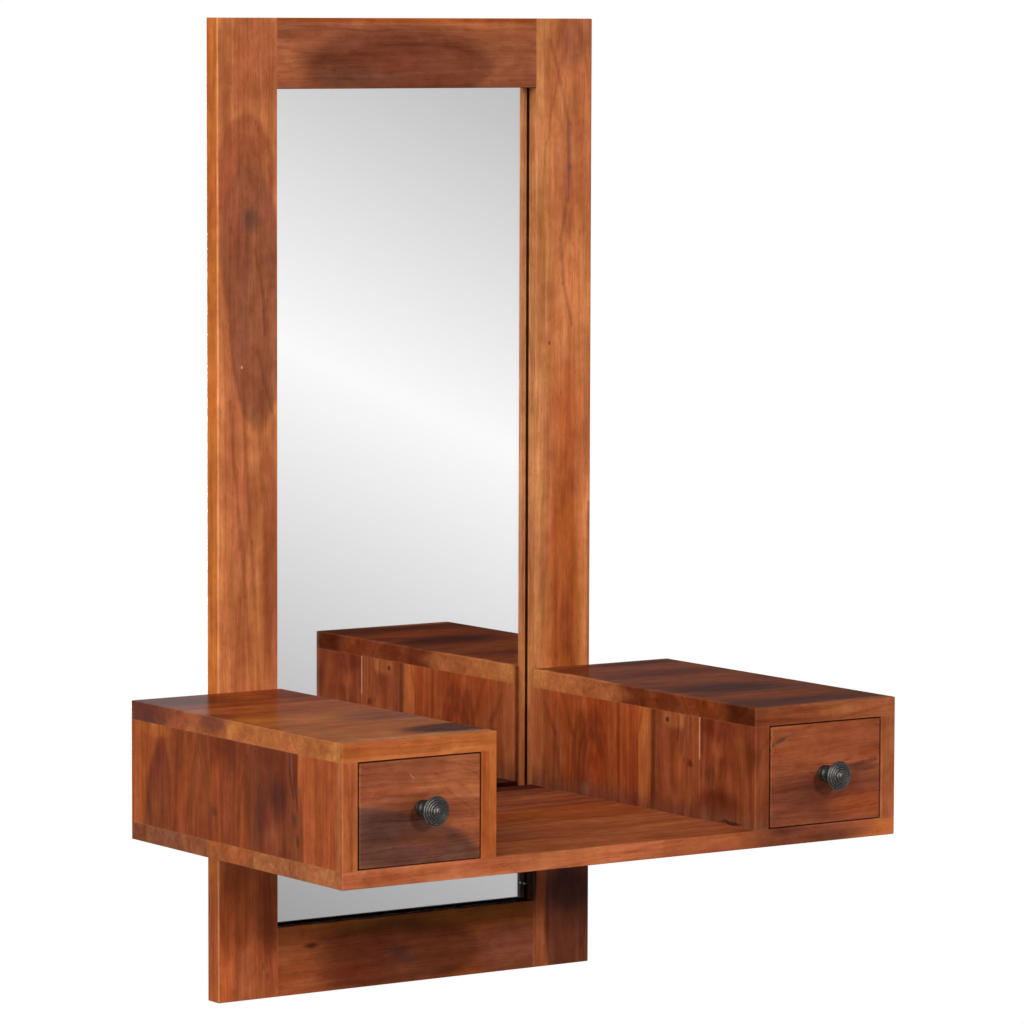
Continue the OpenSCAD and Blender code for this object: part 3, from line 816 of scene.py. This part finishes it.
# Boards that stay out of sight until a drawer opens, in a paler, thinly sealed cut: their
# directions, tones, heart on the right side, and slot.
hiddenLook = {"stretch": 14, "bandWidth": 8, "contrast": 0.6, "coat": 0.1, "rub": 0.2}
hiddenBoards = {
    "box_back": ("XZY", "9c5a38", "7e442a", (200, -700, -60), "box_wood"),
    "drawer_stop": ("XZY", "c08a58", "a8713f", (200, -700, -90), "box_wood"),
    "drawer_back": ("XZY", "c08a58", "ac7646", (220, -720, -90), "drawer_wood"),
    "drawer_outer_side": ("YZX", "bd8654", "a66f40", (-300, -720, 240), "drawer_wood"),
    "drawer_inner_side": ("YZX", "c28c5c", "ab7446", (-150, -560, 200), "drawer_wood"),
}

# How far each board's edges are eased. Edges on a joint plane (axis, place) stay sharper, and
# inner edges, such as the rebate's, are left square.
easing = {
    "edge": 1.0, "joint": 0.4, "hidden": 0.6, "segments": 3,
    "sharper": 40,  # edges that turn less than this, in degrees, are left
    "onPlane": 0.02,
    "smooth": 35,
}
jointPlanes = {
    "left_stile": [(0, -144)], "right_stile": [(0, 144)],
    "top_rail": [(0, -144), (0, 144)], "bottom_rail": [(0, -144), (0, 144)],
    "box": [(2, -668), (2, -574)],
}


def liesOn(edge, axis, place):
    return all(abs(vert.co[axis] - place * mm) < easing["onPlane"] * mm for vert in edge.verts)


def selectArrises(mesh, low, high, joints, stage):
    # the outer edges of the board, or those of them that lie on a joint, or all when hidden
    picked = 0
    for edge in mesh.edges:
        if len(edge.link_faces) != 2 or not edge.is_convex:
            continue
        if edge.calc_face_angle(0) < math.radians(easing["sharper"]):
            continue
        onBox = sum(liesOn(edge, axis, limit[axis] / mm) for axis in range(3) for limit in (low, high))
        onJoint = any(liesOn(edge, axis, place) for axis, place in joints)
        if onBox > 1 and (stage == "hidden" or onJoint == (stage == "joint")):
            edge.select_set(True)
            picked += 1
    return picked


def easedBoard(node, look, body, stages=("edge", "joint")):
    piece = copyOfNode(node, "eased_" + node)
    low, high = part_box(node)
    joints = jointPlanes.get(node, jointPlanes["box"] if "box" in node else [])
    startAlone(piece)
    for stage in stages:
        mesh = bmesh.from_edit_mesh(piece.data)
        picked = selectArrises(mesh, low, high, joints, stage)
        bmesh.update_edit_mesh(piece.data)
        if picked:
            bpy.ops.mesh.bevel(offset=easing[stage] * mm, segments=easing["segments"], affect="EDGES",
                               profile=0.5, clamp_overlap=True)
        bpy.ops.mesh.select_all(action="DESELECT")
    mesh = bmesh.from_edit_mesh(piece.data)
    for vert in mesh.verts:  # where two bevels meet, a corner may stand a hair too far out
        for axis in range(3):
            vert.co[axis] = min(max(vert.co[axis], low[axis]), high[axis])
    bmesh.update_edit_mesh(piece.data)
    bpy.ops.object.mode_set(mode="OBJECT")
    smoothShade(piece, easing["smooth"])
    weighted = piece.modifiers.new("evenNormals", "WEIGHTED_NORMAL")
    weighted.keep_sharp = True
    bpy.ops.object.modifier_apply(modifier=weighted.name)
    dress(piece, body, woodMaterial(node, {**boardLook, **look}), node)


for slotName, looks in boards.items():
    for node, look in looks.items():
        easedBoard(node, look, "cabinet")
        print("board:", node)
for side in sides:
    easedBoard(side + "_drawer_front", drawerFronts[side], side + "_drawer")
    print("drawer front:", side)
    away = -1 if side == "left" else 1
    for name, (axes, light, dark, heart, slotName) in hiddenBoards.items():
        heart = tuple(value * away if letter == "X" else value for letter, value in zip(axes, heart))
        body = "cabinet" if slotName == "box_wood" else side + "_drawer"
        look = {**hiddenLook, "axes": axes, "staves": [stave(-2000, light, dark, heart)]}
        easedBoard(side + "_" + name, look, body, ("hidden",))
    print("hidden boards:", side)


mirror = {"silver": "fdfdfd", "ior": 1.52, "arris": 0.4, "clear": 0.05}  # clear of its silvering


def makeMirror():
    # float glass over a silver coat: a clear slab with a perfect mirror behind it
    glass, add = newMaterial("floatGlass")
    surface = add("BsdfPrincipled", {"Base Color": hexColour("ffffff"), "Roughness": 0.0,
                                     "IOR": mirror["ior"], "Transmission Weight": 1.0})[0]
    add("OutputMaterial", surface)
    silver, add = newMaterial("silverCoat")
    coat = hexColour(mirror["silver"])
    surface = add("BsdfPrincipled", {"Base Color": coat, "Roughness": 0.0, "Metallic": 1.0})[0]
    add("OutputMaterial", surface)
    piece = copyOfNode("mirror_glass", "ground_glass")
    dress(piece, "cabinet", glass, "mirror_glass")
    startAlone(piece)
    mesh = bmesh.from_edit_mesh(piece.data)
    back = max(vert.co.y for vert in mesh.verts)
    for vert in mesh.verts:
        if vert.co.y > back - 2 * mirror["clear"] * mm:
            vert.co.y -= mirror["clear"] * mm
    bmesh.update_edit_mesh(piece.data)
    bpy.ops.mesh.select_all(action="SELECT")
    bpy.ops.mesh.bevel(offset=mirror["arris"] * mm, segments=1, affect="EDGES")
    bpy.ops.object.mode_set(mode="OBJECT")
    silvering = nodes["mirror_silvering"].data.materials
    silvering.clear()
    silvering.append(silver)


makeMirror()
print("mirror made")


# A knob turned in iron: foot, neck bead, throat, flared head with three half-round rings on
# its face, and a round crown. Rows are (radius, distance from the drawer front).
knob = {
    "foot": [(7.2, 0.0), (7.2, 1.2), (7.0, 1.6), (6.8, 1.9), (6.9, 2.2)],
    "bead": {"root": 6.5, "radius": 7.7, "height": 4.6, "half": 2.6, "steps": 9},
    "throat": [(6.2, 8.4), (5.7, 9.8), (5.4, 11.4), (5.6, 13.2), (6.5, 15.0), (8.4, 16.8), (10.6, 18.6)],
    "rim": [(11.9, 19.8), (12.8, 20.7), (13.2, 21.5), (13.25, 22.0), (13.1, 22.6), (12.7, 23.1),
            (12.2, 23.3)],
    "rings": {"from": (12.05, 23.4), "to": (6.2, 25.5), "count": 3, "depth": 0.7, "steps": 8},
    "crown": {"radius": 6.2, "height": 25.5, "rise": 3.5, "steps": 10},
    "sides": 96,
    "smooth": 40,
    "face": (-21.5, -23.0),  # the pale crest tone starts and is full here, before the drawer front
    "iron": [(0.3, "2d2f2c"), (0.55, "3f413d"), (0.75, "54554f")],
    # the crests' warm grey: wear, with their highlights painted in
    "wearAndGlint": "a08c88",
}


def knobRows():
    rows = list(knob["foot"])
    bead = knob["bead"]
    for step in range(bead["steps"]):
        angle = math.pi * (step + 0.5) / bead["steps"]
        rows.append((bead["root"] + (bead["radius"] - bead["root"]) * math.sin(angle),
                     bead["height"] - bead["half"] * math.cos(angle)))
    rows += knob["throat"] + knob["rim"]
    rings = knob["rings"]
    (outer, near), (inner, far) = rings["from"], rings["to"]
    for ring in range(rings["count"]):
        for step in range(rings["steps"]):
            angle = math.pi * step / rings["steps"]
            share = (ring + (1 - math.cos(angle)) / 2) / rings["count"]
            rows.append((outer + (inner - outer) * share,
                         near + (far - near) * share + rings["depth"] * math.sin(angle)))
    crown = knob["crown"]
    for step in range(crown["steps"]):
        angle = math.pi / 2 * step / crown["steps"]
        rows.append((crown["radius"] * math.cos(angle), crown["height"] + crown["rise"] * math.sin(angle)))
    return rows, crown["height"] + crown["rise"]


def ironMaterial(name, centre):
    # cast iron, blackened and waxed: nearly black with a grey-green sheen, worn to a warm grey
    # on the crests of the rings, a tone that also paints in the highlights the crests catch
    material, add = newMaterial(name)
    place = add("TexCoord")["Object"]
    centred = add("VectorMath SUBTRACT", place, centre)[0]
    flat = add("VectorMath MULTIPLY", centred, (1, 0, 1))[0]
    radius = add("VectorMath LENGTH", flat)["Value"]
    rings = knob["rings"]
    outer, inner = rings["from"][0] * mm, rings["to"][0] * mm
    wave = add("MapRange", radius, clamp=False, bounds=(outer, inner, 0.0, rings["count"]))[0]
    wave = add("Math FRACT", wave)[0]
    wave = add("Math PINGPONG", wave, 0.5)[0]
    onFace = add("SeparateXYZ", centred)[1]
    onFace = add("MapRange", onFace, bounds=[depth * mm for depth in knob["face"]])[0]
    crest = add("MapRange", wave, bounds=(0.25, 0.48))[0]
    crest = add("Math MULTIPLY", crest, onFace)[0]
    grit = add("TexNoise", {"Vector": place, "Scale": 900.0, "Detail": 4.0})[0]
    tone = add("ValToRGB", grit, stops=[(at, hexColour(code)) for at, code in knob["iron"]])[0]
    # the warm grey on the face's ring crests stands for wear and is also a painted highlight
    wearAndGlint = add("MapRange", grit, bounds=(0.35, 0.6, 0.0, 0.6))[0]
    wearAndGlint = add("Math MULTIPLY", wearAndGlint, crest)[0]
    tone = add("MixRGB", wearAndGlint, tone, hexColour(knob["wearAndGlint"]))[0]
    rough = add("MapRange", grit, bounds=(*noiseSpan, 0.3, 0.5))[0]
    bump = add("Bump", {"Strength": 0.4, "Distance": 0.1 * mm, "Height": grit})[0]
    surface = add("BsdfPrincipled", {"Base Color": tone, "Metallic": 0.75, "Roughness": rough,
                                     "Normal": bump})[0]
    add("OutputMaterial", surface)
    return material


def makeKnob(side):
    low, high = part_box(side + "_knob")
    centre = Vector(((low.x + high.x) / 2, high.y, (low.z + high.z) / 2))
    rows, tip = knobRows()
    bpy.ops.object.select_all(action="DESELECT")
    bpy.ops.mesh.primitive_circle_add(vertices=knob["sides"], radius=rows[0][0] * mm, fill_type="NGON",
                                      location=centre, rotation=(math.pi / 2, 0, 0))
    piece = bpy.context.object
    piece.name = "turned_" + side + "_knob"
    bpy.ops.object.transform_apply(location=True, rotation=True)
    bpy.ops.object.mode_set(mode="EDIT")
    bpy.ops.mesh.select_all(action="SELECT")
    radius, height = rows[0]
    for nextRadius, nextHeight in rows[1:]:
        step = (0, (height - nextHeight) * mm, 0)
        bpy.ops.mesh.extrude_region_move(TRANSFORM_OT_translate={"value": step})
        share = nextRadius / radius
        bpy.ops.transform.resize(value=(share, 1, share), center_override=tuple(centre))
        radius, height = nextRadius, nextHeight
    bpy.ops.mesh.extrude_region_move(TRANSFORM_OT_translate={"value": (0, (height - tip) * mm, 0)})
    bpy.ops.mesh.merge(type="CENTER")
    bpy.ops.mesh.select_all(action="SELECT")
    bpy.ops.mesh.normals_make_consistent(inside=False)
    bpy.ops.object.mode_set(mode="OBJECT")
    smoothShade(piece, knob["smooth"])
    material = ironMaterial("blackenedIron_" + side, centre)
    dress(piece, side + "_drawer", material, side + "_knob")


for side in sides:
    makeKnob(side)
    print("knob:", side)


smallParts = {
    "zinc": {"tones": ("a9adb0", "cfcfc8"), "spangle": 1.1, "scratch": (9, 0.15)},
    "beech": {"tones": ("b98f5e", "dfc297"), "flecks": "8f6339", "ray": 1.6, "fibre": 0.35},
    "hardboard": {"tones": ("5f4229", "9a7650"), "flecks": "c2a077", "fibre": (2.2, 0.5), "fleck": 0.8,
                  "cloud": 12},
    "plywood": {"tones": ("b98c58", "d9b684"), "fibre": (60, 1.1), "cloud": 18},
}


def tonesAt(part, places):
    return [(at, hexColour(code)) for at, code in zip(places, part["tones"])]


def zincMaterial():
    # bright zinc plate on steel: cool grey, faintly spangled, with hair scratches in the gloss
    part = smallParts["zinc"]
    material, add = newMaterial("zincPlatedSteel")
    place = add("TexCoord")["Object"]
    cells = add("TexVoronoi", {"Vector": place, "Scale": 1 / (part["spangle"] * mm)})["Color"]
    cell = add("SeparateXYZ", cells)[0]
    tone = add("ValToRGB", cell, stops=tonesAt(part, (0.0, 1.0)))[0]
    length, width = part["scratch"]
    scratch = stretchedNoise(add, place, (length * mm, width * mm, width * mm), 2.0)[0]
    rough = add("MapRange", scratch, bounds=(*noiseSpan, 0.22, 0.5))[0]
    bump = add("Bump", {"Strength": 0.2, "Distance": 0.03 * mm, "Height": scratch})[0]
    surface = add("BsdfPrincipled", {"Base Color": tone, "Metallic": 1.0, "Roughness": rough,
                                     "Normal": bump})[0]
    add("OutputMaterial", surface)
    return material


def beechMaterial():
    # raw beech dowel: pale, with the short dark ray flecks that give it away
    part = smallParts["beech"]
    material, add = newMaterial("beechDowel")
    place = add("TexCoord")["Object"]
    fibre = add("TexNoise", {"Vector": place, "Scale": 1 / (part["fibre"] * mm), "Detail": 3.0})[0]
    tone = add("ValToRGB", fibre, stops=tonesAt(part, (0.25, 0.6)))[0]
    rays = add("TexVoronoi", {"Vector": place, "Scale": 1 / (part["ray"] * mm)})["Distance"]
    ray = add("MapRange", rays, bounds=(0.12, 0.2, 0.55, 0.0))[0]
    tone = add("MixRGB", ray, tone, hexColour(part["flecks"]))[0]
    bump = add("Bump", {"Strength": 0.4, "Distance": 0.05 * mm, "Height": fibre})[0]
    surface = add("BsdfPrincipled", {"Base Color": tone, "Roughness": 0.62, "Normal": bump})[0]
    add("OutputMaterial", surface)
    return material


def boardMaterial(name, part, along, gloss):
    # thin made boards. Hardboard: pressed brown fibres with pale flecks, slightly polished by the
    # press. Plywood: a pale peeled face with long soft grain.
    material, add = newMaterial(name)
    place = add("TexCoord")["Object"]
    length, width = part["fibre"]
    sizes = [(length if axis == along else width) * mm for axis in "XYZ"]
    fibre = stretchedNoise(add, place, sizes, 3.0)[0]
    large = add("TexNoise", {"Vector": place, "Scale": 1 / (part["cloud"] * mm), "Detail": 2.0})[0]
    mixed = add("MixRGB", 0.35, fibre, large)[0]
    tone = add("ValToRGB", mixed, stops=tonesAt(part, (0.32, 0.66)))[0]
    if "fleck" in part:
        flecks = add("TexVoronoi", {"Vector": place, "Scale": 1 / (part["fleck"] * mm)})["Distance"]
        fleck = add("MapRange", flecks, bounds=(0.1, 0.2, 0.5, 0.0))[0]
        tone = add("MixRGB", fleck, tone, hexColour(part["flecks"]))[0]
    bump = add("Bump", {"Strength": 0.3, "Distance": 0.06 * mm, "Height": fibre})[0]
    surface = add("BsdfPrincipled", {"Base Color": tone, "Roughness": gloss, "Normal": bump})[0]
    add("OutputMaterial", surface)
    return material


zinc = zincMaterial()
beech = beechMaterial()
hardboard = boardMaterial("hardboard", smallParts["hardboard"], "X", 0.55)
plywood = boardMaterial("peeledPlywood", smallParts["plywood"], "Y", 0.65)
for name, node in nodes.items():
    if node.hide_render or name == "mirror_silvering":
        continue
    node.data.materials.clear()
    if any(word in name for word in ("screw", "pin", "brad", "plate")):
        node.data.materials.append(zinc)
    elif name == "back_panel":
        node.data.materials.append(hardboard)
    elif name.endswith("_bottom"):
        node.data.materials.append(plywood)
    else:
        node.data.materials.append(beech)
print("small parts dressed")

print("done")
